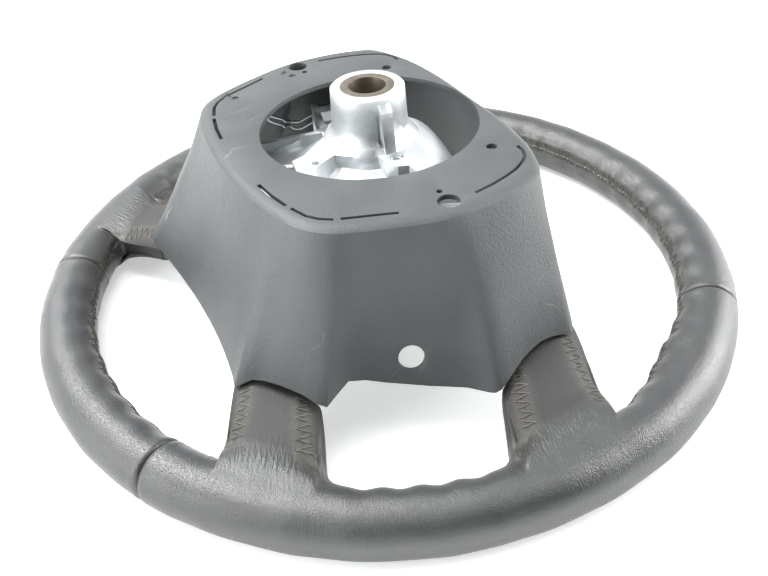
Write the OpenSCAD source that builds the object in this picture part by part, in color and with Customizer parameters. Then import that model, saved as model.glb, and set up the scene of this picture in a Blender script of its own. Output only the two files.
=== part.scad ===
// Four-spoke car steering wheel with a leather grip, lying face down with its column side up.
// Z is the hub axis and points to the steering column, Y points to 12 o'clock, and Z = 0 is the table.
// Clock angles are counted from 12 o'clock towards +X.

/* [Rim] */
// Outside width of the rim, from 9 to 3 o'clock
rim_w = 385.6; // [370:0.2:396]
// Outside height of the rim, from 12 to 6 o'clock
rim_h = 374.4; // [360:0.2:385]
// Diameter of the leather grip
grip_d = 29.6; // [27:0.2:33]
// Thickness of the leather with its stitched lining
leather_t = 1.4; // [1:0.1:2]
// Diameter of the cast ring inside the grip
ring_d = 11; // [9:0.5:13]
// Depth of the finger grooves
groove_depth = 1.2; // [0.2:0.1:1.8]
// Distance between two finger grooves
groove_pitch = 19; // [16:0.5:24]
// How far the thumb rests swell out of the grip
thumb_swell = 3.5; // [1:0.5:5]
// Clock angle of the thumb rests
thumb_clock = 57; // [52:1:60]
// Clock angle of the two upper cross seams
upper_seam_clock = 41.5; // [38:0.5:46]
// Clock angle of the two lower cross seams
lower_seam_clock = 152.6; // [151.8:0.2:157]
// Gap between two leather panels at a cross seam
seam_gap = 0.4; // [0.2:0.1:1]

/* [Spokes] */
// Clock angle at which the upper spokes meet the rim
upper_spoke_clock = 88.8; // [87:0.2:90]
// Clock angle at which the lower spokes meet the rim
lower_spoke_clock = 135; // [134:0.2:136]
// Clock direction in which the upper spokes run outwards
upper_spoke_run = 108; // [105:1:110]
// Clock direction in which the lower spokes run outwards
lower_spoke_run = 118; // [116:1:120]
// Clock direction square to the open ends of the upper spokes
upper_end_clock = 69; // [67:1:73]
// Clock direction square to the open ends of the lower spokes
lower_end_clock = 141; // [138:1:142]
// Length of the upper spokes, from the open end to the middle of the grip
upper_spoke_l = 61.5; // [59:0.5:63]
// Length of the lower spokes, from the open end to the middle of the grip
lower_spoke_l = 54.5; // [53:0.5:56]
// Width of an upper spoke
upper_spoke_w = 46.5; // [44:0.5:48]
// Width of a lower spoke
lower_spoke_w = 43; // [41:0.5:45]
// Thickness of a spoke at its open end
spoke_t = 21; // [19:0.5:23]
// Height of the middle of a spoke's open end
spoke_end_z = 26.5; // [25:0.5:27]
// Wall of leather and foam round the hollow in the end of a spoke
socket_wall = 4.4; // [4:0.2:5]
// Depth of that hollow
socket_depth = 20; // [12:1:24]

/* [Hub] */
// Height of the end of the hub boss
hub_top = 126; // [123:0.5:129]
// Diameter of the hub boss at its end
hub_d = 37; // [36:0.5:39]
// Diameter of the steel insert
insert_d = 27; // [24:0.2:28]
// Diameter of the plain mouth of the insert's bore
bore_d = 18.6; // [17:0.1:20]
// Depth of the plain mouth of the bore
bore_mouth = 9; // [5:0.5:12]
// Number of serrations in the bore
serrations = 36; // [30:1:40]
// Diameter of the two puller holes
puller_d = 6.8; // [6:0.1:8]
// Distance from the hub axis to the puller holes
puller_r = 28; // [28:0.5:31]
// Width of the drive key on the boss
key_w = 6; // [4:0.5:8]
// Clock angle of the drive key
key_clock = 92; // [85:1:100]
// Width of the cast arms at the hub
arm_root_w = 42; // [38:1:44]
// Width of the cast arms inside the spokes
arm_end_w = 22; // [18:1:26]
// Thickness of the arms' floor
arm_floor = 4; // [3:0.5:5]
// Thickness of the arms' side walls
arm_wall = 3.5; // [3:0.5:5]

/* [Rear cover] */
// Height of the flat top of the rear cover
cover_top = 105.7; // [105:0.1:107]
// Diameter of the round opening in the cover
opening_d = 110.8; // [108:0.2:111]
// Wall of the cover
cover_wall = 2.5; // [2.2:0.1:2.6]
// Radius of the cover's top edge
cover_edge_r = 3.2; // [2.5:0.1:4]
// Diameter of the round access hole in each side of the cover
access_d = 12; // [8:0.5:14]
// Width of the slots in the flat top
slot_w = 1.8; // [1.2:0.1:2.4]
// Diameter of the posts that take the cover screws
post_d = 9; // [8:0.5:10]
// Distance from the hub axis to the posts
post_r = 76; // [74:0.5:78]
// Thread diameter of the cover screws
screw_d = 4; // [3:0.5:4.5]

/* [Hidden] */
$fn = 64;

// Rim: an oval of four arcs round the core line of the grip
grip_r = grip_d / 2;
core_w = rim_w / 2 - grip_r;
core_h = rim_h / 2 - grip_r;
arc_shift = (core_w - core_h) / (2 - sqrt(2));
side_arc_r = core_w - arc_shift;
end_arc_r = core_h + arc_shift;
half_groove = groove_pitch / 2 / side_arc_r * 180 / PI;
seam_clear = seam_gap / core_w * 90 / PI;

// Spokes: clock angle at the rim, direction, direction square to the open end, length and width
UPPER_SPOKE = [upper_spoke_clock, upper_spoke_run, upper_end_clock, upper_spoke_l, upper_spoke_w];
LOWER_SPOKE = [lower_spoke_clock, lower_spoke_run, lower_end_clock, lower_spoke_l, lower_spoke_w];
SPOKE_STEPS = [-1.5, -1.22, -1.06, -1, -0.88, -0.6, 0, 0.6, 0.88, 1, 1.06, 1.22, 1.5];
// Radius of the fillet between a spoke's side and the rim
spoke_fillet = 12;
// How far an open end bulges towards the hub, and how its hollow slopes down outwards
end_bow = 2;
hollow_slope = 0.15;

// Places round the grip's section: the outer half in equal steps, then the inner half as shares of it
OUTER_STEPS = [-90 : 30 : 90];
INNER_STEPS = [0.14, 0.28, 0.4, 0.45, 0.5, 0.55, 0.6, 0.72, 0.86];

// Hub: heights and radii of its revolved form
boss_base_z = hub_top - 20;
cone_base_z = hub_top - 27;
dome_edge_z = hub_top - 41;
cone_r = hub_d / 2 + 6;
dome_r = 47;
dome_t = 8;
web_r = dome_r + 14;
web_fall = 6;
web_drop = 6;
land_z = hub_top - 26.5;
chamfer = 0.8;
nut_wall = 7;
nut_step = 4;
insert_base_z = hub_top - 42;
nut_r = insert_d / 2 + 4;

// Cover screws: the posts stand on flat pads of the arms, and the heads bear on the arms' underside
arm_pad_z = 77;
head_seat_z = arm_pad_z - 6;
post_fit = 0.5;
screw_fit = 0.6;
screw_head_d = screw_d * 2;
screw_head_h = 2.6;
screw_l = 16;

// A point of the core line, for the clock angle of its outward normal
function core(u) =
    abs(sin(u)) > abs(cos(u))
    ? [sign(sin(u)) * arc_shift, 0] + side_arc_r * [sin(u), cos(u)]
    : [0, -sign(cos(u)) * arc_shift] + end_arc_r * [sin(u), cos(u)];

function bell(x) = abs(x) >= 1 ? 0 : pow(cos(90 * x), 2);
function mix(a, b, t) = a + (b - a) * t;
function ease(t) = let (c = max(0, min(1, t))) c * c * (3 - 2 * c);
function fold(u) = abs((u + 180) % 360 - 180);

// Radius of the grip's outside: thumb rests below the upper seams, grooves on the fingers' side
function grip_radius(u, v, groove) =
    grip_r
    + thumb_swell * bell((fold(u) - thumb_clock) / 15) * bell((v - 190) / 100)
    - groove * groove_depth * bell((v - 150) / 75);

// Half the clock angle that a spoke takes at the rim, for its width
function spoke_half(s, w) = asin(w / 2 / cos(s[1] - s[0]) / core_w);
function clock_way(u) = [sin(u), cos(u)];

// A point of a spoke's open end, at a share of its half width from its middle
function end_point(s, a, w, inset) =
    core(s[0]) - (s[3] - inset + end_bow * (1 - min(1, a * a))) * clock_way(s[1])
    + a * w / 2 / cos(s[1] - s[2]) * clock_way(s[2] + 90);

function end_middle(s) = end_point(s, 0, s[4], 0);

// The spoke that is nearer to a clock angle, and the place beside it as a share of its half width
function near_spoke(u) = abs(fold(u) - UPPER_SPOKE[0]) < abs(fold(u) - LOWER_SPOKE[0]) ? UPPER_SPOKE : LOWER_SPOKE;
function spoke_place(s, u, w) = (fold(u) - s[0]) / spoke_half(s, w);

// How much of a section at that place belongs to the spoke: all of it inside, then what a fillet leaves
function spoke_reach(a, w) =
    let (
        x = (abs(a) - 1) * w / 2,
        k = spoke_fillet / (LOWER_SPOKE[3] - grip_r),
        lean = 1.6,
        q = 1 - min(1, x / spoke_fillet)
    )
    x <= 0.01 ? 1 : (1 - k) * max(0, 1 - x / lean) + k * (1 - sqrt(1 - q * q));
function spoke_height(a) = abs(a) < 1 ? max(0.3, sqrt(1 - pow(abs(a), 2.6))) : 0.3;

// One point of the round section at clock angle u
function round_point(u, v, groove, inset) =
    let (
        r = grip_radius(u, v, groove) - inset,
        c = core(u) + r * cos(v) * clock_way(u)
    )
    [c[0], c[1], grip_r + r * sin(v)];

// Height of a spoke's middle, from the rim's core at 0 to its open end at 1
function spoke_middle(t) = mix(grip_r, spoke_end_z, ease(t));

// One point of a spoke's section, which runs to the open end and back; the left side is the right one's mirror image
function spoke_point(u, share, inset) =
    let (
        s = near_spoke(u),
        w = s[4] - 2 * inset,
        a = spoke_place(s, u, w),
        t = min(1, (0.5 - abs(share - 0.5)) / 0.42),
        side = sin(u) < 0 ? -1 : 1,
        crown = max(-1, min(1, (0.5 - share) / 0.07)),
        p = mix(core(fold(u)), end_point(s, a, w, inset), t),
        h = mix(grip_r, spoke_t / 2 * spoke_height(a), ease((t - 0.15) * 3)) - inset
    )
    [side * p[0], p[1], spoke_middle(t) + crown * h];

function section(u, groove, inset) =
    let (
        s = near_spoke(u),
        w = s[4] - 2 * inset,
        reach = spoke_reach(spoke_place(s, u, w), w)
    )
    concat(
        [for (v = OUTER_STEPS) round_point(u, v, groove, inset)],
        [for (share = INNER_STEPS)
            mix(round_point(u, 90 + 180 * share, groove, inset), spoke_point(u, share, inset), reach)]
    );

// Stations from one clock angle to another: each is [clock angle, 1 in a finger groove and 0 outside]
function stations(from, to) =
    let (n = max(2, 2 * round((to - from) / half_groove / 2)))
    [for (i = [0 : n]) [mix(from, to, i / n), i % 2]];

function spoke_stations(s) = [for (a = SPOKE_STEPS) [s[0] + a * spoke_half(s, s[4]), 0]];

function side_stations() =
    let (
        upper = spoke_stations(UPPER_SPOKE),
        lower = spoke_stations(LOWER_SPOKE),
        above = stations(upper_seam_clock, upper[0][0]),
        between = stations(upper[12][0], lower[0][0])
    )
    concat(
        [for (i = [0 : len(above) - 2]) above[i]],
        upper,
        [for (i = [1 : len(between) - 2]) between[i]],
        lower,
        [[lower_seam_clock, 0]]
    );

function mirrored(list) = [for (i = [len(list) - 1 : -1 : 0]) [360 - list[i][0], list[i][1]]];
function inner_part(list) = [for (i = [1 : len(list) - 2]) list[i]];
function sections(list, inset) = [for (s = list) section(s[0], s[1], inset)];

// Joins rings of equal counts into a closed bar, or into an endless one, by the shorter diagonals
module loft(rings, endless = false) {
    n = len(rings[0]);
    m = len(rings);
    points = [for (ring = rings) each ring];
    walls = [
        for (i = [0 : endless ? m - 1 : m - 2], j = [0 : n - 1])
            let (
                a = i * n + j,
                b = i * n + (j + 1) % n,
                c = ((i + 1) % m) * n + (j + 1) % n,
                d = ((i + 1) % m) * n + j
            )
            each norm(points[a] - points[c]) <= norm(points[b] - points[d])
                ? [[a, c, b], [a, d, c]]
                : [[a, d, b], [b, d, c]]
    ];
    ends = endless ? [] : [[for (j = [0 : n - 1]) j], [for (j = [n - 1 : -1 : 0]) (m - 1) * n + j]];
    polyhedron(points, concat(walls, ends), convexity = 8);
}

// The same rings with an inner wall, joined at both ends
module skin(outer, inner) {
    m = len(outer);
    loft_rings = concat(outer, [for (i = [m - 1 : -1 : 0]) inner[i]]);
    loft(loft_rings, endless = true);
}

module skin_between(list) {
    skin(sections(list, 0), sections(list, leather_t));
}

// An oval bar of one radius, made of four exact arcs
module oval_arc(r, from, centre, arc_r) {
    translate([centre[0], centre[1], grip_r])
        rotate([0, 0, -from])
            rotate_extrude(angle = 90)
                translate([arc_r, 0]) circle(r = r, $fn = 32);
}

module oval_bar(r) {
    oval_arc(r, 45, [arc_shift, 0], side_arc_r);
    oval_arc(r, 135, [0, arc_shift], end_arc_r);
    oval_arc(r, 225, [-arc_shift, 0], side_arc_r);
    oval_arc(r, 315, [0, -arc_shift], end_arc_r);
}

module both_sides() {
    children();
    mirror([1, 0, 0]) children();
}

// Turns X to a clock angle
module at_clock(u) {
    rotate([0, 0, 90 - u]) children();
}

// The hollow in a spoke's open end: a slot with round ends that runs outwards along the spoke
module socket(s) {
    h = spoke_t - 2 * socket_wall;
    straight = s[4] / 2 - socket_wall - h / 2;
    lead = 6;
    way = [sin(s[1]), cos(s[1]), -hollow_slope];
    middle = end_middle(s);
    ring = [
        for (k = [0 : 15 : 345])
            let (
                side = k > 90 && k < 270 ? -straight : straight,
                e = middle + (side + h / 2 * cos(k)) / cos(s[1] - s[2]) * clock_way(s[2] + 90)
            )
            [e[0], e[1], spoke_end_z - 0.8 + h / 2 * sin(k)]
    ];
    loft([[for (p = ring) p + way * socket_depth], [for (p = ring) p - way * lead]]);
}

module sockets() {
    socket(UPPER_SPOKE);
    socket(LOWER_SPOKE);
}

// The four places where the cover is screwed to the arms
module at_posts() {
    both_sides() {
        at_clock(root_clock(UPPER_SPOKE)) translate([post_r, 0, 0]) children();
        at_clock(root_clock(LOWER_SPOKE)) translate([post_r, 0, 0]) children();
    }
}

// Leather panels and foam
module leather_right() {
    color("#3b3b3c") difference() {
        skin_between(side_stations());
        sockets();
    }
}

module leather_left() {
    mirror([1, 0, 0]) leather_right();
}

module leather_top() {
    color("#3b3b3c")
        skin_between(stations(seam_clear - upper_seam_clock, upper_seam_clock - seam_clear));
}

module leather_bottom() {
    color("#3b3b3c")
        skin_between(stations(lower_seam_clock + seam_clear, 360 - lower_seam_clock - seam_clear));
}

function foam_stations() =
    concat(
        side_stations(),
        inner_part(stations(lower_seam_clock + seam_clear, 360 - lower_seam_clock - seam_clear)),
        mirrored(side_stations()),
        inner_part(stations(360 + seam_clear - upper_seam_clock, 360 + upper_seam_clock - seam_clear))
    );

module foam_body() {
    color("#26262a") difference() {
        loft(sections(foam_stations(), leather_t), endless = true);
        oval_bar(ring_d / 2);
        both_sides() {
            sockets();
            arm_bar(UPPER_SPOKE, arm_line(UPPER_SPOKE, UPPER_RUN));
            arm_bar(LOWER_SPOKE, arm_line(LOWER_SPOKE, LOWER_RUN));
        }
    }
}

// Casting
// Plan of the hub's web, clockwise from 12 o'clock: it has a waist between the arms on the -X side
WEB_PLAN = [[-15, 32], [38, 32], [56, 26], [58, -36], [34, -60], [18, -47], [-18, -47], [-34, -60], [-58, -39],
            [-45, -28], [-44, -11], [-30, 16]];
// The parts of the web that stand at full height: the 12 o'clock side, and the flange along the waist
RIDGE_PLAN = [[-15, 32], [38, 32], [56, 26], [52, 8], [0, 0], [-12, -21], [-24, -12], [-39, -15], [-41, -28],
              [-43, -33], [-54, -42], [-58, -39], [-45, -28], [-44, -11], [-30, 16]];
// Flat land beside the deep pocket; its wavy edge runs from 6 o'clock to the +X side
LAND_PLAN = [[0, 0], [-16, -14], [-4, -30], [2, -38], [4, -45], [20, -48], [28, -44], [26, -41], [16.5, -38],
             [12, -30], [10, -25], [14, -21], [19, -14.5], [23, -7.6], [32, -7], [37, -4], [39, 1], [46, 2],
             [54, 3], [54, 9], [38, 12], [20, 18]];
// A stepped round boss in the pocket, and a small hole in the land
DISC = [33, -23.5];
disc_d = 26;
disc_step = 3;
disc_z = 94;
PIN_HOLE = [12, -36];
pin_hole_d = 4;
collar_d = 13;

// A wall of one thickness along a line of points in plan
function normal_at(list, i) =
    let (
        a = list[max(0, i - 1)],
        b = list[min(len(list) - 1, i + 1)],
        d = (b - a) / norm(b - a)
    )
    [-d[1], d[0]];

module wall_along(list, t) {
    n = len(list);
    polygon(concat(
        [for (i = [0 : n - 1]) list[i] + normal_at(list, i) * t / 2],
        [for (i = [n - 1 : -1 : 0]) list[i] - normal_at(list, i) * t / 2]
    ));
}

// Arms: each runs straight from the hub to the middle of a spoke's open end, and then along the spoke to the ring
UPPER_RUN = [[20, 92], [44, 87], [92, arm_pad_z], [105, 46]];
LOWER_RUN = [[20, 92], [44, 87], [88, arm_pad_z], [103, 46]];
arm_depth = 10;
function root_clock(s) = atan2(end_middle(s)[0], end_middle(s)[1]);
function root_frame(s, p) = let (u = root_clock(s)) [p * clock_way(u), p * clock_way(u - 90)];
function arm_line(s, run) =
    let (from = norm(end_middle(s)) - 6, to = root_frame(s, core(s[0]))[0])
    concat(run, [for (t = [1 : -0.25 : 0]) [mix(to, from, t), spoke_middle(t) + arm_depth / 2]]);

// The side view of an arm between two lines, above and below its top line
module arm_side(line, up, down, w) {
    n = len(line);
    rotate([90, 0, 0])
        linear_extrude(height = w, center = true)
            polygon(concat(
                [for (p = line) p + [0, up]],
                [for (i = [n - 1 : -1 : 0]) line[i] - [0, down]]
            ));
}

module arm_plan(s, root_w, end_w) {
    first = UPPER_RUN[0][0];
    bend = norm(end_middle(s));
    last = root_frame(s, core(s[0]));
    linear_extrude(height = hub_top)
        polygon([[first, -root_w / 2], [bend, -end_w / 2], last - [0, end_w / 2],
                 last + [0, end_w / 2], [bend, end_w / 2], [first, root_w / 2]]);
}

module arm_bar(s, line) {
    at_clock(root_clock(s)) intersection() {
        arm_side(line, 0, arm_depth, 3 * arm_root_w);
        arm_plan(s, arm_root_w, arm_end_w);
    }
}

// A channel along an arm that is open towards the column
module arm_channel(s, line, from, to) {
    at_clock(root_clock(s)) intersection() {
        arm_side(line, arm_depth, arm_depth - arm_floor, 3 * arm_root_w);
        arm_plan(s, arm_root_w - 2 * arm_wall, arm_end_w - 2 * arm_wall);
        translate([from, -2 * arm_root_w, 0]) cube([to - from, 4 * arm_root_w, hub_top]);
    }
}

// An arm: its outer channel ends in the hollow of the spoke, its inner one lies between the hub and the post's pad
module arm(s, line, inner_channel) {
    pad_r = post_d / 2 + 3;
    difference() {
        arm_bar(s, line);
        arm_channel(s, line, post_r + pad_r, norm(end_middle(s)) + socket_depth - 6);
        if (inner_channel) arm_channel(s, line, cone_r, post_r - pad_r);
    }
}

// The revolved form of boss, cone and web, with the web lowered by a drop
module hub_form(drop) {
    edge_z = dome_edge_z - drop;
    rotate_extrude($fn = 96)
        polygon([[insert_d / 2, insert_base_z], [insert_d / 2, hub_top], [hub_d / 2 - chamfer, hub_top],
                 [hub_d / 2, hub_top - chamfer], [hub_d / 2 + chamfer, boss_base_z], [cone_r, cone_base_z],
                 [cone_r + 1, cone_base_z - drop], [dome_r, edge_z], [web_r, edge_z - web_fall],
                 [web_r, dome_edge_z - web_fall - dome_t], [dome_r - 4, dome_edge_z - dome_t - 2],
                 [nut_r + nut_wall, insert_base_z], [nut_r + nut_wall, insert_base_z - nut_step],
                 [nut_r, insert_base_z - nut_step], [nut_r, insert_base_z]]);
}

module upright(plan, from, to) {
    translate([0, 0, from]) linear_extrude(height = to - from) polygon(plan);
}

// The drive key: it leans against the boss and its top is chamfered
module drive_key() {
    r = hub_d / 2;
    root = r - 2;
    foot = r + 6;
    head = r + 3.4;
    rotate([0, 0, 90 - key_clock])
        rotate([90, 0, 0])
            linear_extrude(height = key_w, center = true)
                polygon([[root, cone_base_z - 1], [foot, cone_base_z - 1], [head, hub_top - 9],
                         [head, hub_top - 6], [r, hub_top - 2.5], [root, hub_top - 2.5]]);
}

module hub_casting() {
    intersection() {
        hub_form(web_drop);
        upright(WEB_PLAN, 0, hub_top + 1);
    }
    intersection() {
        hub_form(0);
        upright(RIDGE_PLAN, 0, hub_top + 1);
    }
    difference() {
        upright(LAND_PLAN, dome_edge_z - web_drop, land_z);
        translate([PIN_HOLE[0], PIN_HOLE[1], 0]) cylinder(d = pin_hole_d, h = hub_top);
    }
    under = dome_edge_z - dome_t;
    translate([DISC[0], DISC[1], under]) {
        cylinder(d = disc_d, h = disc_z - under);
        cylinder(d = disc_d - 2 * disc_step, h = disc_z + 2 - under);
    }
    both_sides() translate([puller_r, 0, under]) cylinder(d = collar_d, h = land_z - under);
    drive_key();
}

module armature() {
    slot_beside_key = 1.4;
    head_room = 20;
    color("#c9ccce") difference() {
        union() {
            oval_bar(ring_d / 2);
            hub_casting();
            both_sides() arm(UPPER_SPOKE, arm_line(UPPER_SPOKE, UPPER_RUN), true);
            arm(LOWER_SPOKE, arm_line(LOWER_SPOKE, LOWER_RUN), false);
            mirror([1, 0, 0]) arm(LOWER_SPOKE, arm_line(LOWER_SPOKE, LOWER_RUN), true);
        }
        cylinder(d = insert_d, h = hub_top + 1);
        both_sides() translate([puller_r, 0, 0]) cylinder(d = puller_d, h = hub_top);
        rotate([0, 0, 90 - key_clock])
            translate([hub_d / 2 - 1, -key_w / 2 - slot_beside_key, cone_base_z + 3])
                cube([key_w, slot_beside_key, hub_top - boss_base_z - 4]);
        at_posts() {
            cylinder(d = screw_d + screw_fit, h = hub_top);
            translate([0, 0, arm_pad_z]) cylinder(d = post_d + 2 * post_fit, h = head_room);
            translate([0, 0, head_seat_z - head_room]) cylinder(d = screw_head_d + 2 * post_fit, h = head_room);
        }
    }
}

// The insert: a plain mouth at the column end, serrations below it
module hub_insert() {
    root_r = bore_d / 2 - 0.1;
    tooth = 0.9;
    color("#8d8478") difference() {
        translate([0, 0, insert_base_z]) cylinder(d = insert_d, h = hub_top - insert_base_z);
        translate([0, 0, hub_top - bore_mouth]) cylinder(d = bore_d, h = bore_mouth + 1);
        translate([0, 0, insert_base_z - 1])
            linear_extrude(height = hub_top - insert_base_z - bore_mouth + 2)
                polygon([for (i = [0 : 2 * serrations - 1])
                    (i % 2 == 0 ? root_r : root_r - tooth)
                    * [cos(180 * i / serrations), sin(180 * i / serrations)]]);
    }
}

// Rear cover
// Stations round the cover from 12 to 6 o'clock: place on the top edge, then place and height on the lower edge
COVER_RAILS = [
    [[0, 57.6], [0, 72, 27]],
    [[20, 57.8], [30, 71, 28]],
    [[38, 57], [56, 67, 29]],
    [[58, 54.2], [92, 57, 31]],
    [[72, 49.8], [112, 47, 34]],
    [[80, 46], [120, 40, 36]],
    [[86, 41], [120, 34, 38]],
    [[90.5, 30], [122, 22, 41]],
    [[93.3, 17], [127, 8, 40]],
    [[94.5, 2], [134, -7, 35]],
    [[94.2, -5], [130, -11, 31.5]],
    [[92.5, -16], [121, -17, 30]],
    [[88.5, -29.5], [112, -31, 30.5]],
    [[84.5, -41], [103.5, -49, 34.5]],
    [[81, -49.5], [98.5, -65, 39]],
    [[78, -55], [105.5, -79, 36]],
    [[74.5, -60], [97, -86, 39.5]],
    [[70, -64.3], [86, -94, 41]],
    [[64, -67.8], [75, -102, 39]],
    [[56, -70.6], [71, -109.5, 34.5]],
    [[47, -73], [60, -107.5, 31]],
    [[31, -75.6], [38, -104.5, 28]],
    [[14, -77.2], [16, -102.8, 26.5]]
];
COVER_END = [[0, -77.5], [0, -102.5, 26]];

function flip_rail(r) = [[-r[0][0], r[0][1]], [-r[1][0], r[1][1], r[1][2]]];
GIVEN_RAILS = concat(
    COVER_RAILS,
    [COVER_END],
    [for (i = [len(COVER_RAILS) - 1 : -1 : 1]) flip_rail(COVER_RAILS[i])]
);

// The same rails with one more between each two, on a smooth curve through them
function given(i, k) = GIVEN_RAILS[(i + len(GIVEN_RAILS)) % len(GIVEN_RAILS)][k];
function between_rails(i, k) = (9 * (given(i, k) + given(i + 1, k)) - given(i - 1, k) - given(i + 2, k)) / 16;
RAILS = [
    for (i = [0 : len(GIVEN_RAILS) - 1])
        each [GIVEN_RAILS[i], [between_rails(i, 0), between_rails(i, 1)]]
];
RAIL_COUNT = len(RAILS);

function top_of(i) = RAILS[(i + RAIL_COUNT) % RAIL_COUNT][0];
function foot_of(i) = RAILS[(i + RAIL_COUNT) % RAIL_COUNT][1];
function outward(i) =
    let (d = top_of(i + 1) - top_of(i - 1), f = foot_of(i + 1) - foot_of(i - 1), e = d / norm(d) + [f[0], f[1]] / norm([f[0], f[1]]))
    [-e[1], e[0]] / norm(e);

// A ring of the cover's wall, as a share of the way down, set inwards by the wall and down from the top
function cover_ring(share, inset, drop) = [
    for (i = [0 : RAIL_COUNT - 1])
        let (
            a = top_of(i),
            b = foot_of(i),
            bow = pow(share, 1.12),
            n = -outward(i) * inset
        )
        [mix(a[0], b[0], bow) + n[0], mix(a[1], b[1], bow) + n[1], mix(cover_top, b[2], share) - drop]
];

module cover_shell() {
    edge = cover_edge_r;
    skin_rings = [
        cover_ring(0, edge, 0),
        cover_ring(0, edge * 0.29, edge * 0.29),
        cover_ring(0.03, -0.4, 0),
        cover_ring(0.3, 0, 0),
        cover_ring(0.65, 0, 0),
        cover_ring(1, 0, 0),
        cover_ring(1, cover_wall, 0),
        cover_ring(0.65, cover_wall * 1.1, 0),
        cover_ring(0.3, cover_wall * 1.1, 0),
        cover_ring(0, cover_wall, cover_wall)
    ];
    loft(skin_rings);
}

// The opening lies a little nearer to 6 o'clock than the hub axis
opening_y = -0.5;

// A slot in the flat top along a line of points
module slot_along(list) {
    translate([0, 0, cover_top - 2 * cover_wall])
        linear_extrude(height = 3 * cover_wall)
            wall_along(list, slot_w);
}

TOP_SLOT = [[85.4, 9.1], [83.6, 19], [81, 27.7], [78.2, 35], [74.4, 41.2], [70.7, 45.2], [65.4, 47.6], [60.6, 47.8]];
SIDE_SLOT = [[81.6, -26.7], [72.4, -50]];
CORNER_SLOT = [[71.2, -52.8], [67.3, -58], [62, -61.8], [52.9, -64.9]];
LOWER_SLOT = [[49.8, -66], [38, -68.6], [26, -70]];
COVER_HOLES = [[85, -4, 10.5], [76, -3.5, 3], [54.5, 37.4, 5.5]];
// Shallow marks in the top of the -X side: places of the triangles and of the dots beside them
TRIANGLE_MARKS = [[-81.3, -14.1], [-72.2, -51.2]];
DOT_MARKS = [[-75.1, -11.4], [-66.6, -48.3]];
triangle_d = 6.4;
dot_d = 4;
mark_depth = 0.8;

// The side access hole: its middle, how far it is turned towards 6 o'clock, and how far it looks up
ACCESS_PLACE = [104.5, -36, 44.5];
access_turn = 19;
access_rise = 16;

module access_hole() {
    depth = 4 * access_d;
    translate(ACCESS_PLACE)
        rotate([0, 90 - access_rise, -access_turn])
            cylinder(d = access_d, h = depth, center = true);
}

module rear_cover() {
    color("#55585a") difference() {
        union() {
            cover_shell();
            at_posts() translate([0, 0, arm_pad_z])
                cylinder(d = post_d, h = cover_top - arm_pad_z - cover_wall / 2);
        }
        translate([0, opening_y, cover_top - 4 * cover_wall])
            cylinder(d = opening_d, h = 8 * cover_wall, $fn = 96);
        both_sides() {
            slot_along(TOP_SLOT);
            slot_along(SIDE_SLOT);
            slot_along(CORNER_SLOT);
            slot_along(LOWER_SLOT);
            for (h = COVER_HOLES)
                translate([h[0], h[1], cover_top - 4 * cover_wall]) cylinder(d = h[2], h = 8 * cover_wall);
            access_hole();
        }
        translate([0, 0, cover_top - mark_depth]) {
            for (m = TRIANGLE_MARKS) translate(m) rotate([0, 0, 30]) cylinder(d = triangle_d, h = 2, $fn = 3);
            for (m = DOT_MARKS) translate(m) cylinder(d = dot_d, h = 2, $fn = 32);
        }
        at_posts() cylinder(d = screw_d, h = arm_pad_z + screw_l);
    }
}

module cover_screws() {
    color("#b5b8ba") at_posts() translate([0, 0, head_seat_z]) {
        cylinder(d = screw_d, h = screw_l);
        translate([0, 0, -screw_head_h]) cylinder(d = screw_head_d, h = screw_head_h);
    }
}

armature();
hub_insert();
foam_body();
leather_top();
leather_bottom();
leather_left();
leather_right();
rear_cover();
cover_screws();
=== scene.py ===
"""Looks for a four-spoke leather steering wheel that lies face down, with its column side up."""

import math

import bmesh
import bpy
import numpy as np
from mathutils import Matrix, Vector
from mathutils.bvhtree import BVHTree
from mathutils.kdtree import KDTree


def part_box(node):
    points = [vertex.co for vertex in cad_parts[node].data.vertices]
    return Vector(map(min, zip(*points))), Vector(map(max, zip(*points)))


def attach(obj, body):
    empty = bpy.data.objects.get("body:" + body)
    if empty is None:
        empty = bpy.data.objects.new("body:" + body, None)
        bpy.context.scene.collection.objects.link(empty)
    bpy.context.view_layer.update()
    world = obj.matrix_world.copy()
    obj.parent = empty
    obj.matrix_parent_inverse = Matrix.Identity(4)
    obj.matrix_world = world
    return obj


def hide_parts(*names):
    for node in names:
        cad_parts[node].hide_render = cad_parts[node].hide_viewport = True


MM = 0.001
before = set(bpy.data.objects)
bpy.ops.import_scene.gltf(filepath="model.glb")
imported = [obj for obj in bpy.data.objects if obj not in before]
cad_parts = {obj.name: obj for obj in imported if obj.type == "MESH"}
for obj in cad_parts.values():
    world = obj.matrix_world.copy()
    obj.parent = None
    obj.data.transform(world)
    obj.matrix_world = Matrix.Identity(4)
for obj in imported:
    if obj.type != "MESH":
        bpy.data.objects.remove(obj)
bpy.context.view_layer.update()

# Sizes in millimetres, the first ones from the frame
rim_w = 2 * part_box("leather_right")[1].x / MM
rim_h = 2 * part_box("leather_top")[1].y / MM
grip_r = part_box("leather_top")[1].z / MM / 2
spoke_half_t = 10.5
spoke_end_z = 26.5
spoke_fillet = 12
side_lean = 1.6
end_bow = 2
upper_seam_clock = 41.5
lower_seam_clock = 152.6
thumb_clock = 57
thumb_swell = 3.5
groove_depth = 1.2
groove_pitch = 19
socket_wall = 4.4
socket_depth = 20
hollow_slope = 0.15

# The rim's core line is an oval of four arcs
core_w = rim_w / 2 - grip_r
core_h = rim_h / 2 - grip_r
arc_shift = (core_w - core_h) / (2 - math.sqrt(2))
side_arc_r = core_w - arc_shift
end_arc_r = core_h + arc_shift
half_groove = math.degrees(groove_pitch / 2 / side_arc_r)


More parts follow.
